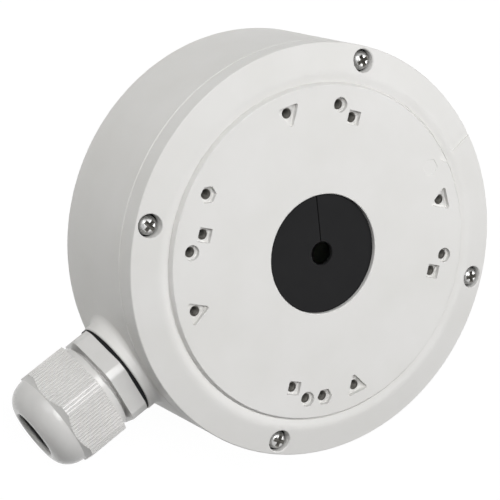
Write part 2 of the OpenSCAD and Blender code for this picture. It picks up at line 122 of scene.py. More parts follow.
def lathe(name, loop, steps, place=None):
    # spins a closed (radius, height) outline in millimetres about Z
    bm = bmesh.new()
    rings = []
    for k in range(steps):
        a = 2 * math.pi * k / steps
        rings.append([bm.verts.new((p[0] * mm * math.cos(a), p[0] * mm * math.sin(a), p[1] * mm)) for p in loop])
    for k in range(steps):
        here, there = rings[k], rings[(k + 1) % steps]
        for i in range(len(loop)):
            j = (i + 1) % len(loop)
            if loop[i][0] > 1e-6 or loop[j][0] > 1e-6:
                bm.faces.new((here[i], here[j], there[j], there[i]))
    bmesh.ops.remove_doubles(bm, verts=bm.verts, dist=1e-7)
    return closeMesh(name, bm, place)


def prism(name, outline, levels, place=None):
    # stacks copies of a flat outline; a level is (how far it grows outward, height)
    bm = bmesh.new()
    count = len(outline)
    grow = []
    for i in range(count):
        before, here, after = (Vector(outline[(i + d) % count][:2]) for d in (-1, 0, 1))
        first, second = (here - before).normalized(), (after - here).normalized()
        n1, n2 = Vector((first.y, -first.x)), Vector((second.y, -second.x))
        grow.append((n1 + n2) / max(1 + n1.dot(n2), 0.2))
    rings = [[bm.verts.new(((outline[i][0] + grow[i].x * g) * mm, (outline[i][1] + grow[i].y * g) * mm, z * mm))
              for i in range(count)] for g, z in levels]
    for low, high in zip(rings, rings[1:]):
        for i in range(count):
            bm.faces.new((low[i], low[(i + 1) % count], high[(i + 1) % count], high[i]))
    bm.faces.new(list(reversed(rings[0])))
    bm.faces.new(rings[-1])
    return closeMesh(name, bm, place)


def closeMesh(name, bm, place=None):
    bmesh.ops.recalc_face_normals(bm, faces=bm.faces)
    mesh = bpy.data.meshes.new(name)
    bm.to_mesh(mesh)
    bm.free()
    if place is not None:
        mesh.transform(place)
    return newObject(name, mesh)


def joined(name, pieces):
    # one object from several; the parts are dropped
    bm = bmesh.new()
    for piece in pieces:
        bm.from_mesh(piece.data)
        bpy.data.objects.remove(piece, do_unlink=True)
    mesh = bpy.data.meshes.new(name)
    bm.to_mesh(mesh)
    bm.free()
    return newObject(name, mesh)


def combine(piece, others, operation):
    # the tools of one call may not overlap each other
    tool = joined("tool", others)
    modifier = piece.modifiers.new("combine", "BOOLEAN")
    modifier.operation, modifier.solver, modifier.object = operation, "EXACT", tool
    settled(piece)
    bpy.data.objects.remove(tool, do_unlink=True)


def placed(x, y, z=0, degrees=0):
    # a place in millimetres, turned about Z
    return Matrix.Translation((x * mm, y * mm, z * mm)) @ Matrix.Rotation(math.radians(degrees), 4, "Z")


def copiesAt(name, outline, levels, spots):
    # the same prism at several (x, y, turn in degrees)
    return [prism(name, outline, levels, placed(x, y, 0, turn)) for x, y, turn in spots]


def polar(radius, degrees):
    a = math.radians(degrees)
    return radius * math.cos(a), radius * math.sin(a)


def circle(radius, steps=48):
    return [polar(radius, 360 * i / steps) for i in range(steps)]


def dress(piece, body, material, nodes=()):
    # last step of a piece: shading, finish, body, slot and the CAD nodes it stands for
    mesh = piece.data
    mesh.materials.clear()
    mesh.materials.append(material)
    mesh.polygons.foreach_set("material_index", [0] * len(mesh.polygons))
    mesh.shade_smooth()
    mesh.set_sharp_from_angle(angle=sharpAngle)
    weighted = piece.modifiers.new("evenNormals", "WEIGHTED_NORMAL")
    weighted.keep_sharp = True
    settled(piece)
    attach(piece, body)
    if nodes:
        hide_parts(*nodes)


def newTree(name, sockets):
    tree = bpy.data.node_groups.new(name, "GeometryNodeTree")
    tree.interface.new_socket("Geometry", in_out="INPUT", socket_type="NodeSocketGeometry")
    for socketName, kind in sockets:
        tree.interface.new_socket(socketName, in_out="INPUT", socket_type="NodeSocket" + kind)
    tree.interface.new_socket("Geometry", in_out="OUTPUT", socket_type="NodeSocketGeometry")
    return tree, addNode(tree, "NodeGroupInput")


def closeTree(tree, geometry, source):
    plain = addNode(tree, "GeometryNodeRealizeInstances", links={"Geometry": geometry})
    finish = addNode(tree, "GeometryNodeSetMaterial",
                     links={"Geometry": plain.outputs["Geometry"], "Material": source.outputs["Material"]})
    addNode(tree, "NodeGroupOutput", links={"Geometry": finish.outputs["Geometry"]})


def grown(name, start, tree, values):
    # runs a tree on a starting mesh and keeps the result as a plain mesh
    piece = newObject(name, start)
    modifier = piece.modifiers.new("grow", "NODES")
    modifier.node_group = tree
    for item in tree.interface.items_tree:
        if item.item_type == "SOCKET" and item.in_out == "INPUT" and item.name in values:
            modifier[item.identifier] = values[item.name]
    return settled(piece)


def piecesAtPointsTree():
    # one copy of a piece on every point, turned about Z by the point's own angle
    tree, source = newTree("piecesAtPoints", [("Piece", "Object"), ("Material", "Material")])
    piece = addNode(tree, "GeometryNodeObjectInfo", links={"Object": source.outputs["Piece"]})
    turn = addNode(tree, "GeometryNodeInputNamedAttribute", {"data_type": "FLOAT", "Name": "turn"})
    angles = addNode(tree, "ShaderNodeCombineXYZ", links={"Z": turn.outputs["Attribute"]})
    rotation = addNode(tree, "FunctionNodeEulerToRotation", links={"Euler": angles.outputs["Vector"]})
    copies = addNode(tree, "GeometryNodeInstanceOnPoints",
                     links={"Points": source.outputs["Geometry"], "Instance": piece.outputs["Geometry"],
                            "Rotation": rotation.outputs["Rotation"]})
    closeTree(tree, copies.outputs["Instances"], source)
    return tree


def threadTree():
    # a screw thread: a three-cornered ridge that climbs round the Z axis
    tree, source = newTree("threadRidge", [("Radius", "Float"), ("Pitch", "Float"), ("Turns", "Float"),
                                           ("Steps", "Int"), ("Ridge", "Float"), ("Material", "Material")])
    height = addNode(tree, "ShaderNodeMath", {"operation": "MULTIPLY"},
                     {0: source.outputs["Pitch"], 1: source.outputs["Turns"]})
    spiral = addNode(tree, "GeometryNodeCurveSpiral",
                     links={"Resolution": source.outputs["Steps"], "Rotations": source.outputs["Turns"],
                            "Start Radius": source.outputs["Radius"], "End Radius": source.outputs["Radius"],
                            "Height": height.outputs[0]})
    upright = addNode(tree, "GeometryNodeSetCurveNormal", {"mode": "Z_UP"}, {"Curve": spiral.outputs["Curve"]})
    section = addNode(tree, "GeometryNodeCurvePrimitiveCircle", {"Resolution": 4},
                      {"Radius": source.outputs["Ridge"]})
    ridge = addNode(tree, "GeometryNodeCurveToMesh", {"Fill Caps": True},
                    {"Curve": upright.outputs["Curve"], "Profile Curve": section.outputs["Curve"]})
    closeTree(tree, ridge.outputs["Mesh"], source)
    return tree


def ribsTree():
    # bars side by side round an outline, each one as long as the sloped end allows
    tree, source = newTree("ribsRound", [("Rib", "Object"), ("Count", "Int"), ("Start", "Float"),
                                         ("Slope End", "Float"), ("Material", "Material")])
    outline = addNode(tree, "GeometryNodeMeshToCurve", links={"Mesh": source.outputs["Geometry"]})
    spaced = addNode(tree, "GeometryNodeResampleCurve",
                     links={"Curve": outline.outputs["Curve"], "Count": source.outputs["Count"]})
    along = addNode(tree, "GeometryNodeInputTangent")
    rotation = addNode(tree, "FunctionNodeAlignRotationToVector", {"axis": "X", "pivot_axis": "Z"},
                       {"Vector": along.outputs["Tangent"]})
    spot = addNode(tree, "GeometryNodeInputPosition")
    flat = addNode(tree, "ShaderNodeVectorMath", {"operation": "MULTIPLY", 1: (1, 1, 0)},
                   {0: spot.outputs["Position"]})
    reach = addNode(tree, "ShaderNodeVectorMath", {"operation": "LENGTH"}, {0: flat.outputs["Vector"]})
    room = addNode(tree, "ShaderNodeMath", {"operation": "SUBTRACT"},
                   {0: source.outputs["Slope End"], 1: source.outputs["Start"]})
    length = addNode(tree, "ShaderNodeMath", {"operation": "SUBTRACT"},
                     {0: room.outputs[0], 1: reach.outputs["Value"]})
    size = addNode(tree, "ShaderNodeCombineXYZ", {"X": 1, "Y": 1}, {"Z": length.outputs[0]})
    rib = addNode(tree, "GeometryNodeObjectInfo", links={"Object": source.outputs["Rib"]})
    copies = addNode(tree, "GeometryNodeInstanceOnPoints",
                     links={"Points": spaced.outputs["Curve"], "Instance": rib.outputs["Geometry"],
                            "Rotation": rotation.outputs["Rotation"], "Scale": size.outputs["Vector"]})
    closeTree(tree, copies.outputs["Instances"], source)
    return tree


def newFinish(name, values):
    material = bpy.data.materials.new(name)
    material.use_nodes = True
    tree = material.node_tree
    shader = tree.nodes["Principled BSDF"]
    for key, value in values.items():
        shader.inputs[key].default_value = value
    return material, tree, shader, addNode(tree, "ShaderNodeTexCoord").outputs["Object"]


def mottle(tree, coords, size, detail=2.0, roughness=0.5):
    # noise whose grains are about size millimetres across
    return addNode(tree, "ShaderNodeTexNoise", {"Scale": 1 / (size * mm), "Detail": detail, "Roughness": roughness},
                   {"Vector": coords}).outputs["Fac"]


def ranged(tree, value, low, high):
    return addNode(tree, "ShaderNodeMapRange", {"From Min": 0.3, "From Max": 0.7, "To Min": low, "To Max": high},
                   {"Value": value}).outputs["Result"]


def shaded(tree, value, dark, light):
    ramp = addNode(tree, "ShaderNodeValToRGB", links={"Fac": value})
    ramp.color_ramp.elements[0].color, ramp.color_ramp.elements[1].color = toLinear(dark), toLinear(light)
    ramp.color_ramp.elements[0].position, ramp.color_ramp.elements[1].position = 0.3, 0.7
    return ramp.outputs["Color"]


def raised(tree, height, depth, below=None):
    # bump of a real depth in millimetres, on top of a coarser one if there is one
    links = {"Height": height}
    if below is not None:
        links["Normal"] = below
    return addNode(tree, "ShaderNodeBump", {"Strength": 1.0, "Distance": depth * mm}, links).outputs["Normal"]


coatFacts = {"light": "#e9e8e6", "dark": "#e4e3e0", "cloudSize": 22, "peelSize": 1.6, "peelDepth": 0.006,
             "grainSize": 0.45, "grainDepth": 0.004, "roughness": (0.40, 0.52)}


def connect(tree, shader, colour, roughness, normal):
    for key, source in (("Base Color", colour), ("Roughness", roughness), ("Normal", normal)):
        tree.links.new(source, shader.inputs[key])


def powderCoat(name, facts):
    # polyester powder coat baked on die-cast aluminium: satin white with a faint orange peel
    material, tree, shader, coords = newFinish(name, {"Specular IOR Level": 0.45})
    cloud = mottle(tree, coords, facts["cloudSize"], 3)
    peel = mottle(tree, coords, facts["peelSize"], 1)
    grain = mottle(tree, coords, facts["grainSize"], 2, 0.6)
    coarse = raised(tree, peel, facts["peelDepth"])
    connect(tree, shader, shaded(tree, cloud, facts["dark"], facts["light"]), ranged(tree, grain, *facts["roughness"]),
            raised(tree, grain, facts["grainDepth"], coarse))
    return material


nylonFacts = {"light": "#dedddb", "dark": "#d7d6d4", "flowSize": 9, "grainSize": 0.6}


def mouldedNylon(name, facts, roughness, grainDepth):
    # glass-filled polyamide, injection moulded: grey, with flow clouds and the mould's own polish
    material, tree, shader, coords = newFinish(name, {"Specular IOR Level": 0.5})
    flow = mottle(tree, coords, facts["flowSize"], 4)
    grain = mottle(tree, coords, facts["grainSize"], 3, 0.65)
    connect(tree, shader, shaded(tree, flow, facts["dark"], facts["light"]),
            ranged(tree, grain, roughness * 0.85, roughness * 1.15), raised(tree, grain, grainDepth))
    return material


rubberFacts = {"light": "#1f1f20", "dark": "#1a1a1b", "bloomSize": 6, "grainSize": 0.5, "grainDepth": 0.008,
               "roughness": (0.66, 0.8)}


def mouldedRubber(name, facts):
    # carbon-black EPDM, compression moulded: matt black with a faint bloom
    material, tree, shader, coords = newFinish(name, {"Specular IOR Level": 0.12})
    bloom = mottle(tree, coords, facts["bloomSize"], 5, 0.6)
    grain = mottle(tree, coords, facts["grainSize"], 3, 0.6)
    connect(tree, shader, shaded(tree, bloom, facts["dark"], facts["light"]), ranged(tree, bloom, *facts["roughness"]),
            raised(tree, grain, facts["grainDepth"]))
    return material


steelFacts = {"light": "#c9c9c8", "dark": "#a9a9a8", "streakSize": 0.8, "grainSize": 0.3, "grainDepth": 0.003,
              "roughness": (0.22, 0.38)}


def headedSteel(name, facts):
    # stainless steel, cold headed and tumbled: bright, with fine scuffs from the tumbler
    material, tree, shader, coords = newFinish(name, {"Metallic": 1.0})
    streak = mottle(tree, coords, facts["streakSize"], 5, 0.7)
    grain = mottle(tree, coords, facts["grainSize"], 2)
    connect(tree, shader, shaded(tree, streak, facts["dark"], facts["light"]),
            ranged(tree, streak, *facts["roughness"]), raised(tree, grain, facts["grainDepth"]))
    return material


bareMetalShadeFacts = {"light": "#7e7c77", "dark": "#5c5a55", "smearSize": 0.7, "smearDepth": 0.01, "roughness": (0.42, 0.62)}


def rawThread(name, facts):
    # cast metal cut and left bare, coloured dark grey, which also paints the shade deep in the tapped holes and in the
    # screws' cross recesses; random smears vary its tone
    material, tree, shader, coords = newFinish(name, {"Metallic": 0.3, "Specular IOR Level": 0.2})
    smear = mottle(tree, coords, facts["smearSize"], 3)
    connect(tree, shader, shaded(tree, smear, facts["dark"], facts["light"]), ranged(tree, smear, *facts["roughness"]),
            raised(tree, smear, facts["smearDepth"]))
    return material


coat = powderCoat("powderCoatedCasting", coatFacts)
nylonSmooth = mouldedNylon("polishedMouldNylon", nylonFacts, 0.2, 0.0006)
nylonSatin = mouldedNylon("satinMouldNylon", nylonFacts, 0.5, 0.0015)
rubber = mouldedRubber("mouldedRubber", rubberFacts)
steel = headedSteel("coldHeadedStainless", steelFacts)
# dark grey finish: bare metal in the taps, and painted shade in the taps and the cross recesses
bareMetalAndShade = rawThread("bareTappedCasting", bareMetalShadeFacts)
print("finishes made:", len(bpy.data.materials))

piecesAtPoints, threadRidge, ribsRound = piecesAtPointsTree(), threadTree(), ribsTree()


def pointsMesh(spots):
    # points in millimetres, each with its own turn in degrees
    mesh = bpy.data.meshes.new("points")
    mesh.from_pydata([(x * mm, y * mm, z * mm) for x, y, z, turn in spots], [], [])
    turns = mesh.attributes.new("turn", "FLOAT", "POINT")
    for i, spot in enumerate(spots):
        turns.data[i].value = math.radians(spot[3])
    return mesh


def scattered(name, template, spots, material):
    # copies of a template at (x, y, z, turn); the template itself is dropped
    piece = grown(name, pointsMesh(spots), piecesAtPoints, {"Piece": template, "Material": material})
    bpy.data.objects.remove(template, do_unlink=True)
    return piece


def thread(name, radius, pitch, turns, steps, material, place):
    # the ridge's own size follows the pitch, so neighbouring turns just touch
    piece = grown(name, bpy.data.meshes.new("seed"), threadRidge,
                  {"Radius": radius * mm, "Pitch": pitch * mm, "Turns": turns, "Steps": steps,
                   "Ridge": pitch * 0.48 * mm, "Material": material})
    piece.data.transform(place)
    return piece


# shared by the lid and the cup, in millimetres
seamHeight, seamRadius, wallInside = 39.7, 71.1, 67.8
postRadius, lidSteps = 4.7, 288
screwAngles = [45, 135, 225, 315]
screwSpots = [polar(66, a) + (0,) for a in screwAngles]
squareSpots = [(x * 33.1, y * 33.1, 45) for x in (-1, 1) for y in (-1, 1)]
roundSpots = [polar(50.5, 52.2 + 90 * k) + (0,) for k in range(4)]
triSpots = [polar(50.4, 75 + 90 * k) + (75 + 90 * k,) for k in range(4)]
hexSpots = [polar(50.4, a) + (0,) for a in (210, 330)]
tapSpots = squareSpots + roundSpots + triSpots + hexSpots

lidFacts = {"rimRadius": 71.0, "rimHeight": 47.75, "crownRadius": 61.5, "crownHeight": 49.35, "discRadius": 57.2,
            "faceHeight": 50.4, "plateUnder": 47.4, "openingRadius": 20.6, "ledgeRadius": 18.6, "ledgeTop": 47.9,
            "ledgeUnder": 46.4, "recessRadius": 3.9, "recessHeight": 44.59, "pocketHeight": 48.7, "squareHalf": 2.35,
            "roundRadius": 2.55, "triangleSide": 8.6, "hexagonHalf": 2.6, "tapRadius": 1.75, "tapBottom": 42.7,
            "tapBossRadius": 3.7, "rimRound": 0.14}


def borderHeight(f, radius):
    slope = (f["crownHeight"] - f["rimHeight"]) / (f["rimRadius"] - 0.6 - f["crownRadius"])
    return f["crownHeight"] - (radius - f["crownRadius"]) * slope


def flare(face, bottom, rim):
    # levels of a pocket cutter: straight walls with a rounded rim at the face
    levels = [(-0.12, bottom), (0, bottom + 0.12)]
    for degrees in (0, 20, 40, 60, 78):
        a = math.radians(degrees)
        levels.append((rim * (1 - math.cos(a)), face - rim + rim * math.sin(a)))
    return levels + [(rim * 1.3, face + 0.4)]


def makeLid(f):
    under = borderHeight(f, wallInside) - 3.1
    opening, ledge = f["openingRadius"], f["ledgeRadius"]
    # up the rim, over the border and down its cove, across the disc, round the ledge and back under the plate
    loop = roundedLoop([
        (wallInside, seamHeight), (seamRadius - 0.5, seamHeight), (seamRadius, seamHeight + 0.5, 0.1),
        (f["rimRadius"], f["rimHeight"], 0.5),
        (63.4, borderHeight(f, 63.4)), (62.6, borderHeight(f, 62.6) - 0.02), (61.9, 49.24), (61.2, 49.27),
        (60.5, 49.25), (59.8, 49.17), (59.2, 49.06), (58.7, 48.98), (58.25, 48.9), (58.2, 48.6), (57.95, 48.6),
        (57.9, 48.95), (57.5, 49.75), (f["discRadius"], f["faceHeight"], 0.35), (opening, f["faceHeight"], 0.3),
        (opening, f["ledgeTop"], 0.1), (ledge, f["ledgeTop"]), (ledge, f["ledgeUnder"]),
        (22.8, f["ledgeUnder"], 0.4), (23.6, f["plateUnder"], 0.6), (55.6, f["plateUnder"], 1),
        (57.6, under + 0.8, 1), (66.5, under, 0.8), (67.5, under - 1, 0.5)])
    lid = lathe("castLid", loop, lidSteps)
    tapBoss, bossLevels = circle(f["tapBossRadius"], 40), [(-0.25, 41.7), (0, 41.95), (0, 47.9)]
    bosses = copiesAt("boss", circle(postRadius), [(0, seamHeight), (0, 46.6)], screwSpots)
    combine(lid, bosses + copiesAt("boss", tapBoss, bossLevels, squareSpots + triSpots), "UNION")
    for group in (roundSpots, hexSpots):  # these bosses run into their neighbours
        combine(lid, copiesAt("boss", tapBoss, bossLevels, group), "UNION")
    top, bottom = f["faceHeight"], f["pocketHeight"]
    half, levels = f["squareHalf"], flare(top, bottom, f["rimRound"])
    square = roundedLoop([(x * half, y * half, 0.35) for x, y in ((-1, -1), (1, -1), (1, 1), (-1, 1))], 4)
    triangle = roundedLoop([polar(f["triangleSide"] / math.sqrt(3), a) + (0.7,) for a in (180, 300, 60)], 5)
    corner = f["hexagonHalf"] / math.cos(math.radians(30))
    hexagon = roundedLoop([polar(corner, a) + (0.25,) for a in range(0, 360, 60)], 3)
    cuts = []
    for outline, spots in ((square, squareSpots), (circle(f["roundRadius"], 40), roundSpots),
                           (triangle, triSpots), (hexagon, hexSpots)):
        cuts += copiesAt("pocket", outline, levels, spots)
    # a shallow hexagon without a hole
    cuts += copiesAt("blank", hexagon, [(-0.1, top - 0.15), (0.05, top - 0.03), (0.12, top + 0.3)], [(0, 50.4, 0)])
    for x, y, a in [spot[:2] + (a,) for spot, a in zip(screwSpots, screwAngles)]:
        recess = prism("recess", circle(f["recessRadius"], 56), flare(borderHeight(f, 66), f["recessHeight"], 0.4))
        for v in recess.data.vertices:  # the rim follows the sloping border
            if v.co.z > 46 * mm:
                v.co.z -= 0.18 * v.co.x
        recess.data.transform(placed(x, y, 0, a))
        cuts.append(recess)
    # a V notch in the disc's edge, and the short groove that points to it across the border
    notch = roundedLoop([(0, 55.3, 0.5), (3.1, 57.2), (4.1, 58.3), (-4.1, 58.3), (-3.1, 57.2)], 4)
    cuts.append(prism("notch", notch, [(0, 49.0), (0, 50.1), (0.1, 50.3), (0.3, 50.6)]))
    mark = prism("mark", [(-1.1, 61.3), (1.1, 61.3), (1.1, 72), (-1.1, 72)], [(-0.1, 0), (0, 0.1), (0.15, 4)])
    for v in mark.data.vertices:
        v.co.z += (borderHeight(f, v.co.y / mm) - 0.35) * mm
    cuts.append(mark)
    combine(lid, cuts, "DIFFERENCE")
    tapLevels = [(-0.5, f["tapBottom"]), (0, f["tapBottom"] + 0.4), (0, bottom - 0.25), (0.3, bottom + 0.05)]
    holes = copiesAt("tap", circle(f["tapRadius"], 32), tapLevels, tapSpots)
    holes += copiesAt("shank", circle(2.25, 32), [(0, 38), (0, 46)], screwSpots)
    combine(lid, holes, "DIFFERENCE")
    dress(lid, "lid", coat, ["lid"])


makeLid(lidFacts)
print("lid made")

tapFacts = {"radius": 1.7, "wall": 0.15, "floor": 0.2, "bottom": 42.75, "top": 48.42, "pitch": 0.7, "turns": 6.8}


def makeTaps(f):
    # the tapped holes: a sleeve with its thread in each, closed at the bottom, dark grey for bare metal and for painted
    # shade deep in the hole
    inner, outer, low = f["radius"], f["radius"] + f["wall"], f["bottom"] - f["floor"]
    sleeve = lathe("oneSleeve", [(0, f["bottom"]), (inner, f["bottom"]), (inner, f["top"]), (outer, f["top"]),
                                 (outer, low), (0, low)], 32)
    ridge = thread("ridge", inner, f["pitch"], f["turns"], 16, bareMetalAndShade, placed(0, 0, f["bottom"] + 0.5))
    spots = [(x, y, 0, 0) for x, y, turn in tapSpots]
    dress(scattered("tappedHoles", joined("oneTap", [sleeve, ridge]), spots, bareMetalAndShade), "lid", bareMetalAndShade)


makeTaps(tapFacts)

grommetFacts = {"faceHeight": 49.2, "outerRadius": 20.5, "neckRadius": 18.4, "skirtRadius": 16.6, "skirtEnd": 45.0,
                "holeRadius": 4.05, "skin": 1.6, "slitTurn": 156, "slitWidth": 0.36, "slitRimDepth": 0.8}


def makeGrommet(f):
    # the neck sits round the lid's ledge, and a thin skin closes the opening up to the cable's hole
    top, hole, neck, under = f["faceHeight"], f["holeRadius"], f["neckRadius"], f["faceHeight"] - f["skin"]
    loop = roundedLoop([
        (hole, under, 0.2), (hole, top, 0.3), (f["outerRadius"], top, 0.3), (f["outerRadius"], lidFacts["ledgeTop"]),
        (neck, lidFacts["ledgeTop"]), (neck, lidFacts["ledgeUnder"]), (20.4, lidFacts["ledgeUnder"], 0.3),
        (19.8, f["skirtEnd"], 0.4), (f["skirtRadius"], f["skirtEnd"], 0.3), (f["skirtRadius"], under, 0.3)])
    grommet = lathe("cableGrommet", loop, 192)
    half, turn = f["slitWidth"] / 2, Matrix.Rotation(math.radians(f["slitTurn"]), 4, "Z")
    through = prism("slit", [(0, -half), (15.9, -half), (15.9, half), (0, half)], [(0, 46), (0, top + 0.3)], turn)
    combine(grommet, [through], "DIFFERENCE")
    shallow = prism("slit", [(15.5, -half), (20.1, -half), (20.1, half), (15.5, half)],
                    [(0, top - f["slitRimDepth"]), (0, top - 0.1), (0.1, top + 0.2)], turn)
    combine(grommet, [shallow], "DIFFERENCE")
    dress(grommet, "lid", rubber, ["cable_grommet"])


makeGrommet(grommetFacts)

screwFacts = {"headRadius": 3.25, "headHeight": 2.6, "shank": 2.0, "length": 16, "pitch": 0.7, "recess": 1.6,
              "seatHeight": 45.59, "turns": [20, 40, 60, 80], "ringInner": 2.1, "ringOuter": 3.8}


def crossCutter(name, top, depth, share=1.0):
    # a cross recess, narrower towards its bottom
    wide, long, narrowing = 0.62 * share, 2.05 * share, 0.55
    cross = [(wide, long), (-wide, long), (-wide, wide), (-long, wide), (-long, -wide), (-wide, -wide),
             (-wide, -long), (wide, -long), (wide, -wide), (long, -wide), (long, wide), (wide, wide)]
    cutter = prism(name, cross, [(-0.15, top - depth), (0, top - 0.3), (0.08, top + 0.1)])
    for v in cutter.data.vertices:
        if v.co.z < (top - 0.5) * mm:
            v.co.x *= narrowing
            v.co.y *= narrowing
    return cutter


def makeScrew(name, f):
    # pan head on z = 0 with its shank below
    radius, height, shank, length = f["headRadius"], f["headHeight"], f["shank"], f["length"]
    core = shank * 0.82
    profile = roundedLoop([(0, -length), (shank * 0.6, -length, 0.2), (core, -length + 1), (core, -0.6),
                           (shank, -0.3), (shank, 0), (radius, 0, 0.2), (radius, height * 0.42, 1.4),
                           (radius * 0.62, height * 0.98, 1.2), (0, height)], 5)
    screw = lathe(name, profile, 48)
    combine(screw, [crossCutter("cross", height, f["recess"])], "DIFFERENCE")
    ridge = thread("ridge", shank * 0.9, f["pitch"], (length - 2.2) / f["pitch"], 20, steel, placed(0, 0, -length + 1))
    return joined(name, [screw, ridge])


def makeLidScrews(f):
    spots = [(x, y, f["seatHeight"], a + turn) for (x, y, _), a, turn in zip(screwSpots, screwAngles, f["turns"])]
    screws = scattered("lidScrews", makeScrew("oneScrew", f), spots, steel)
    dress(screws, "lid", steel, ["lid_screw_" + str(i) for i in (1, 2, 3, 4)])
    # painted shade: a thin dark shell inside each cross recess, where the real recess is only shaded
    recessShade = crossCutter("oneLining", f["headHeight"] - 0.12, f["recess"] - 0.1)
    hollow = crossCutter("hollow", f["headHeight"] - 0.02, f["recess"] - 0.14, 0.9)
    combine(recessShade, [hollow], "DIFFERENCE")
    dress(scattered("recessLinings", recessShade, spots, bareMetalAndShade), "lid", bareMetalAndShade)
    inner, outer, low, high = f["ringInner"], f["ringOuter"], lidFacts["recessHeight"], f["seatHeight"]
    loop = roundedLoop([(inner, low), (outer, low, 0.2), (outer, high, 0.35), (inner, high, 0.2)], 4)
    ring = lathe("oneRing", loop, 48)
    rings = scattered("screwRings", ring, [(x, y, 0, a) for (x, y, _), a in zip(screwSpots, screwAngles)], rubber)
    dress(rings, "lid", rubber, ["screw_ring_" + str(i) for i in (1, 2, 3, 4)])


makeLidScrews(screwFacts)
print("grommet and lid screws made")

# the gland's own frame: its zero is the boss face, its Z runs out of the box
glandFace, glandHeight = 74.7, 20.8
glandAxis = Matrix.Translation((0, -glandFace * mm, glandHeight * mm)) @ Matrix.Rotation(math.pi / 2, 4, "X")
earthSpot = (-56, 0)
cupFacts = {"backRadius": 72.02, "floor": 3.2, "bossRadius": 17.2, "filletSmall": 1.0, "filletWide": 3.0,
            "wallHoleReach": 36, "wallHoleRadius": 2.5, "screwHoleRadius": 2.05, "rearRadius": 13.5,
            "rearHoleRadius": 11, "entryRadius": 12.55, "grooveInner": 68.75, "grooveOuter": 70.15, "grooveFloor": 38.6}


def bossFillet(f):
    # the cove that a rolling ball leaves between the gland boss and the cup's wall
    bm = bmesh.new()
    rings, count, boss = [], 144, f["bossRadius"]
    for k in range(count):
        a = 2 * math.pi * k / count
        side, rise = math.sin(a), math.cos(a)
        ball = f["filletSmall"] + (f["filletWide"] - f["filletSmall"]) * side * side
        reach, height = boss + ball, glandHeight + (boss + ball) * rise
        wall = f["backRadius"] - (f["backRadius"] - seamRadius) * height / 39.4
        centre = Vector((reach * side, -math.sqrt((wall + ball) ** 2 - (reach * side) ** 2), height))
        onBoss = Vector((boss * side, centre.y, glandHeight + boss * rise))
        onWall = Vector((centre.x * wall / (wall + ball), centre.y * wall / (wall + ball), height))
        first, last = (onBoss - centre).normalized(), (onWall - centre).normalized()
        turn = first.angle(last)
        ring = []
        for s in range(9):
            t = s / 8
            arm = (first * math.sin((1 - t) * turn) + last * math.sin(t * turn)) / math.sin(turn)
            ring.append(centre + arm * (ball + (0.03 if s in (0, 8) else 0)))
        # the last point lies inside both, so the ring of sections closes into a solid
        deep = 16.4 * side
        ring.append(Vector((deep, -math.sqrt((wall - 1.2) ** 2 - deep ** 2), glandHeight + 16.4 * rise)))
        rings.append([bm.verts.new(p * mm) for p in ring])
    for k in range(count):
        here, there = rings[k], rings[(k + 1) % count]
        for i in range(len(here)):
            j = (i + 1) % len(here)
            bm.faces.new((here[i], here[j], there[j], there[i]))
    return closeMesh("fillet", bm)


def makeCup(f):
    loop = roundedLoop([
        (0, 0.0), (f["backRadius"], 0, 0.8), (seamRadius, 39.35, 0.08), (70.75, seamHeight),
        (wallInside, seamHeight, 0.3), (67.6, f["floor"], 2.5), (0, f["floor"])])
    cup = lathe("castCup", loop, lidSteps)
    corners = [(x * f["wallHoleReach"], y * f["wallHoleReach"], 0) for x in (-1, 1) for y in (-1, 1)]
    earth = [earthSpot + (0,)]
    adds = copiesAt("boss", circle(postRadius), [(0, 2.5), (0, 39.6), (-0.1, seamHeight)], screwSpots)
    adds += copiesAt("pad", circle(6), [(0.4, 2.8), (0, 3.4), (0, 4.3), (-0.25, 4.6)], corners)
    adds += copiesAt("post", circle(4.2), [(0.5, 2.8), (0, 3.6), (0, 9.0), (-0.2, 9.2)], earth)
    outer = f["bossRadius"]
    boss = lathe("boss", roundedLoop([(0, -6), (outer, -6), (outer, 0, 0.7), (0, 0)], 6), 144, glandAxis)
    combine(cup, [boss], "UNION")
    combine(cup, [bossFillet(f)], "UNION")
    combine(cup, adds, "UNION")
    screwHole = circle(f["screwHoleRadius"], 32)
    cuts = copiesAt("screwHole", screwHole, [(0, 27), (0, 39.3), (0.5, 39.8)], screwSpots)
    cuts += copiesAt("wallHole", circle(f["wallHoleRadius"], 40), [(0.4, -0.2), (0, 0.3), (0, 6)], corners)
    cuts += copiesAt("earthHole", screwHole, [(0, 3.7), (0, 9.0), (0.3, 9.4)], earth)
    wide, hole, entry = f["rearRadius"], f["rearHoleRadius"], f["entryRadius"]
    cuts.append(lathe("rear", roundedLoop([(0, -1), (wide, -1), (wide, 1.2), (hole, 1.2), (hole, 6), (0, 6)]), 128))
    cuts.append(lathe("entry", [(0, -15), (entry, -15), (entry, 5), (0, 5)], 128, glandAxis))
    combine(cup, cuts, "DIFFERENCE")
    inner, outer, low = f["grooveInner"], f["grooveOuter"], f["grooveFloor"]
    combine(cup, [lathe("groove", [(inner, low), (outer, low), (outer, 42), (inner, 42)], lidSteps)], "DIFFERENCE")
    dress(cup, "base", coat, ["housing"])


makeCup(cupFacts)

sealFacts = {"inner": 68.85, "outer": 70.05}


def makeSeal(f):
    inner, outer, low = f["inner"], f["outer"], cupFacts["grooveFloor"]
    seal = lathe("lidSeal", roundedLoop([(inner, low, 0.1), (outer, low, 0.1), (outer, seamHeight, 0.25),
                                         (inner, seamHeight, 0.25)], 4), 256)
    dress(seal, "base", rubber, ["lid_seal"])


makeSeal(sealFacts)

plugFacts = {"flange": 13.3, "neck": 10.9, "lip": 11.8, "inside": 9.1, "top": 5.6}


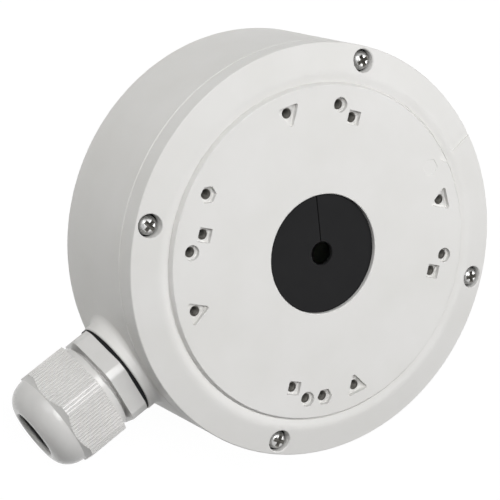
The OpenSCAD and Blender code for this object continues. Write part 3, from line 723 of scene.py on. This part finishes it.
def makePlug(f):
    flange, neck, inside, top = f["flange"], f["neck"], f["inside"], f["top"]
    plug = lathe("rearPlug", roundedLoop([
        (0, 0.1), (flange, 0.1, 0.25), (flange, 1.2), (neck, 1.2), (neck, 3.2), (f["lip"], 3.2, 0.2), (11.44, 5.0, 0.4),
        (10.5, top, 0.3), (inside, top, 0.3), (inside, 1.9, 0.4), (0, 1.9)], 4), 128)
    dress(plug, "base", rubber, ["rear_plug"])


makePlug(plugFacts)

earthFacts = {"headRadius": 3.8, "headHeight": 2.4, "shank": 2.0, "length": 5.9, "pitch": 0.7, "recess": 1.5,
              "turn": 25, "washerInner": 2.15, "washerOuter": 4.5, "washerThickness": 0.9, "seatHeight": 9.2}


def makeEarthPoint(f):
    inner, outer, thick = f["washerInner"], f["washerOuter"], f["washerThickness"]
    loop = roundedLoop([(inner, 0), (outer, 0, 0.1), (outer, thick, 0.15), (inner, thick, 0.1)], 3)
    washer = lathe("earthWasher", loop, 64, placed(*earthSpot, f["seatHeight"]))
    dress(washer, "base", steel, ["earth_washer"])
    screw = makeScrew("earthScrew", f)
    screw.data.transform(placed(*earthSpot, f["seatHeight"] + thick, f["turn"]))
    dress(screw, "base", steel, ["earth_screw"])


makeEarthPoint(earthFacts)
print("cup made")


glandFacts = {"flats": 33, "corners": 18.0, "turn": 116, "neckRadius": 13.1, "endRadius": 12.4, "boreRadius": 10.4,
              "threadPitch": 1.5, "fingers": 12, "gasketInner": 12.6, "gasketOuter": 16.9, "gasketThickness": 1.2,
              "sleeveInner": 8.3}


def hexOutline(flats, corners, turn, steps=5):
    # a hexagon whose corners are cut by a circle of the radius given as corners
    outline = []
    half = math.degrees(math.acos(flats / 2 / corners))
    for k in range(6):
        middle = turn + 30 + 60 * k
        outline += [polar(corners, middle - half), polar(corners, middle + half)]
        for s in range(1, steps):
            outline.append(polar(corners, middle + half + (60 - 2 * half) * s / steps))
    return outline


def makeGland(f):
    inner, outer, thick = f["gasketInner"], f["gasketOuter"], f["gasketThickness"]
    gasket = lathe("glandGasket", roundedLoop([(inner, 0), (outer, 0, 0.15), (outer, thick, 0.15), (inner, thick)], 3),
                   128, glandAxis)
    dress(gasket, "base", rubber, ["gland_gasket"])
    # the tube from its end inside the box to the tips of its fingers, then the hexagon round it
    bore, end, neck = f["boreRadius"], f["endRadius"], f["neckRadius"]
    body = lathe("glandBody", roundedLoop([
        (bore, -9, 0.3), (11.5, -9, 0.2), (end, -8), (end, 7.4), (neck, 7.4), (neck, 22.5), (13.2, 22.6),
        (12.0, 31.5, 0.4), (bore, 31.5, 0.3)], 3), 128, glandAxis)
    block = prism("block", hexOutline(f["flats"], f["corners"], f["turn"]),
                  [(-0.25, thick), (-0.07, 1.27), (0, 1.45), (0, 7.25), (-0.07, 7.43), (-0.25, 7.5)], glandAxis)
    combine(block, [prism("bore", circle(11.4, 64), [(0, 0), (0, 9)], glandAxis)], "DIFFERENCE")
    combine(body, [block], "UNION")
    slots = copiesAt("slot", [(9.4, -0.6), (15.8, -0.6), (15.8, 0.6), (9.4, 0.6)], [(0, 22.5), (0, 33)],
                     [(0, 0, (i + 0.5) * 360 / f["fingers"]) for i in range(f["fingers"])])
    for slot in slots:
        slot.data.transform(glandAxis)
    combine(body, slots, "DIFFERENCE")
    dress(body, "base", nylonSmooth, ["gland_body"])
    ridge = thread("neckThread", 13.08, f["threadPitch"], 9.4, 96, nylonSmooth, glandAxis @ placed(0, 0, 8.1))
    dress(ridge, "base", nylonSmooth)
    inside = f["sleeveInner"]
    sleeve = lathe("glandSleeve", roundedLoop([(inside, 9.5), (bore, 9.5), (bore, 32.1, 0.6), (inside, 32.1, 0.9)], 5),
                   96, glandAxis)
    dress(sleeve, "base", rubber, ["gland_sleeve"])


makeGland(glandFacts)

nutFacts = {"collarRadius": 15.8, "collarStart": 8.6, "ribStart": 11.2, "ribEnd": 28.0, "flats": 34.4, "corners": 18.8,
            "turn": 116, "boreRadius": 13.85, "ribs": 96, "ribDepth": 0.4, "slopeEnd": 43.9, "domeRadius": 16.6,
            "domeStart": 26.8, "tip": 35.3, "mouthRadius": 8.4}


def makeNut(f):
    flats, corners, start = f["flats"] - 2 * f["ribDepth"], f["corners"] - f["ribDepth"], f["ribStart"]
    # the hexagon that carries the ribs: sloped at the dome's end and hollow
    core = prism("core", hexOutline(flats, corners, f["turn"], 8), [(0, start), (0, f["ribEnd"])], glandAxis)
    envelope = lathe("envelope", roundedLoop([
        (0, start), (18.2, start), (18.8, 11.6), (18.8, 25.0), (16.2, 27.7), (0, 27.7)], 3), 160, glandAxis)
    combine(core, [envelope], "INTERSECT")
    combine(core, [prism("bore", circle(14.8, 64), [(0, 9), (0, 30)], glandAxis)], "DIFFERENCE")
    # the dome is a quarter of an ellipse that ends in the mouth's lip
    lip = f["mouthRadius"] + 1.0
    dome = [(lip + (f["domeRadius"] - lip) * math.cos(math.radians(a)),
             f["domeStart"] + (f["tip"] - f["domeStart"]) * math.sin(math.radians(a))) for a in range(0, 91, 6)]
    bore, collar, mouth = f["boreRadius"], f["collarRadius"], f["mouthRadius"]
    turned = lathe("capNut", roundedLoop(
        [(bore, f["collarStart"], 0.2), (collar, f["collarStart"], 0.4), (collar, 11.6), (f["domeRadius"], 11.8)]
        + dome + [(mouth, f["tip"], 0.8), (mouth, 33.9), (9.6, 33.0), (12.8, 32.3), (13.55, 29.5), (bore, 22.9)], 6),
        192, glandAxis)
    combine(turned, [core], "UNION")
    dress(turned, "cap_nut", nylonSmooth, ["gland_nut"])
    outline = hexOutline(flats, corners, f["turn"], 12)
    loop = bpy.data.meshes.new("outline")
    loop.from_pydata([(x * mm, y * mm, start * mm) for x, y in outline],
                     [(i, (i + 1) % len(outline)) for i in range(len(outline))], [])
    # one rib of unit length: a low bar with a rounded back
    bar = prism("bar", [(0.36, 0.06), (-0.36, 0.06), (-0.33, -0.16), (-0.24, -0.31), (-0.09, -0.39), (0.09, -0.39),
                        (0.24, -0.31), (0.33, -0.16)], [(0, 0), (0, 1000)])
    ribs = grown("capNutRibs", loop, ribsRound, {"Rib": bar, "Count": f["ribs"], "Start": start * mm,
                                                 "Slope End": f["slopeEnd"] * mm, "Material": nylonSatin})
    bpy.data.objects.remove(bar, do_unlink=True)
    ribs.data.transform(glandAxis)
    dress(ribs, "cap_nut", nylonSatin)


makeNut(nutFacts)
print("gland made")

# the camera's place, axes and lens, fitted to the object's outlines
camera = bpy.data.objects.new("camera", bpy.data.cameras.new("camera"))
scene.collection.objects.link(camera)
scene.camera = camera
right = Vector((0.44669427, 0.74365939, 0.49742832))
up = Vector((-0.78011005, 0.59596001, -0.19042053))
back = Vector((-0.43805541, -0.30298907, 0.84634809))
facing = Matrix((right, up, back)).transposed().to_4x4()
camera.matrix_world = Matrix.Translation((-0.2555296, -0.1859652, 0.5077803)) @ facing
camera.data.lens = 118.75
camera.data.sensor_width = 36
camera.data.clip_start = 0.01
camera.data.clip_end = 20

# each softbox is (watts, azimuth from +X toward +Y, elevation); sizes and distances in metres
# world is the share of the white surroundings that lights the object, white the brightness seen behind it
lightFacts = {"topLamp": (12.6, 180, 60), "rightLamp": (8.8, 60, 50), "lowLamp": (4.0, 196, 30), "size": 0.7,
              "distance": 1.5, "aim": (0, -0.01, 0.03), "world": 0.01, "white": 1.05, "floorWhite": 0.93}


def addLamp(name, f):
    power, azimuth, elevation = f[name]
    lamp = bpy.data.objects.new(name, bpy.data.lights.new(name, "AREA"))
    scene.collection.objects.link(lamp)
    lamp.data.shape, lamp.data.size, lamp.data.energy = "SQUARE", f["size"], power
    around, above = math.radians(azimuth), math.radians(elevation)
    direction = Vector((math.cos(around) * math.cos(above), math.sin(around) * math.cos(above), math.sin(above)))
    facing = direction.to_track_quat("Z", "Y").to_matrix().to_4x4()
    lamp.matrix_world = Matrix.Translation(Vector(f["aim"]) + direction * f["distance"]) @ facing


for lampName in ("topLamp", "rightLamp", "lowLamp"):
    addLamp(lampName, lightFacts)


def seenRays(tree):
    # 1 for rays that show a surface to the camera or in a reflection, 0 for the light that falls on the object
    rays = addNode(tree, "ShaderNodeLightPath")
    seen = addNode(tree, "ShaderNodeMath", {"operation": "MAXIMUM"},
                   {0: rays.outputs["Is Camera Ray"], 1: rays.outputs["Is Glossy Ray"]})
    return addNode(tree, "ShaderNodeMath", {"operation": "MAXIMUM"},
                   {0: seen.outputs[0], 1: rays.outputs["Is Transmission Ray"]}).outputs[0]


world = bpy.data.worlds.new("studio")
scene.world = world
world.use_nodes = True
sky = world.node_tree
strength = addNode(sky, "ShaderNodeMapRange", {"To Min": lightFacts["world"], "To Max": lightFacts["white"]},
                   {"Value": seenRays(sky)})
sky.links.new(strength.outputs["Result"], sky.nodes["Background"].inputs["Strength"])
sky.nodes["Background"].inputs["Color"].default_value = (1, 1, 1, 1)

floorMaterial = bpy.data.materials.new("paleFloor")
floorMaterial.use_nodes = True
tree = floorMaterial.node_tree
tree.nodes.remove(tree.nodes["Principled BSDF"])
matt = addNode(tree, "ShaderNodeBsdfDiffuse", {"Color": toLinear("#d8d8d6")})
glow = addNode(tree, "ShaderNodeEmission", {"Color": (1, 1, 1, 1), "Strength": lightFacts["white"]})
# the floor is seen nearly white, and its matt share keeps the object's shadow
share = addNode(tree, "ShaderNodeMath", {"operation": "MULTIPLY", 1: lightFacts["floorWhite"]}, {0: seenRays(tree)})
mixed = addNode(tree, "ShaderNodeMixShader", links={0: share.outputs[0], 1: matt.outputs[0], 2: glow.outputs[0]})
tree.links.new(mixed.outputs[0], tree.nodes["Material Output"].inputs["Surface"])
floorMesh = bpy.data.meshes.new("floor")
floorReach, floorDepth = 4, -0.0002  # metres
floorMesh.from_pydata([(x * floorReach, y * floorReach, floorDepth) for x, y in ((-1, -1), (1, -1), (1, 1), (-1, 1))],
                      [], [(0, 1, 2, 3)])
floorMesh.materials.append(floorMaterial)
newObject("floor", floorMesh)
scene.view_settings.view_transform = "Standard"
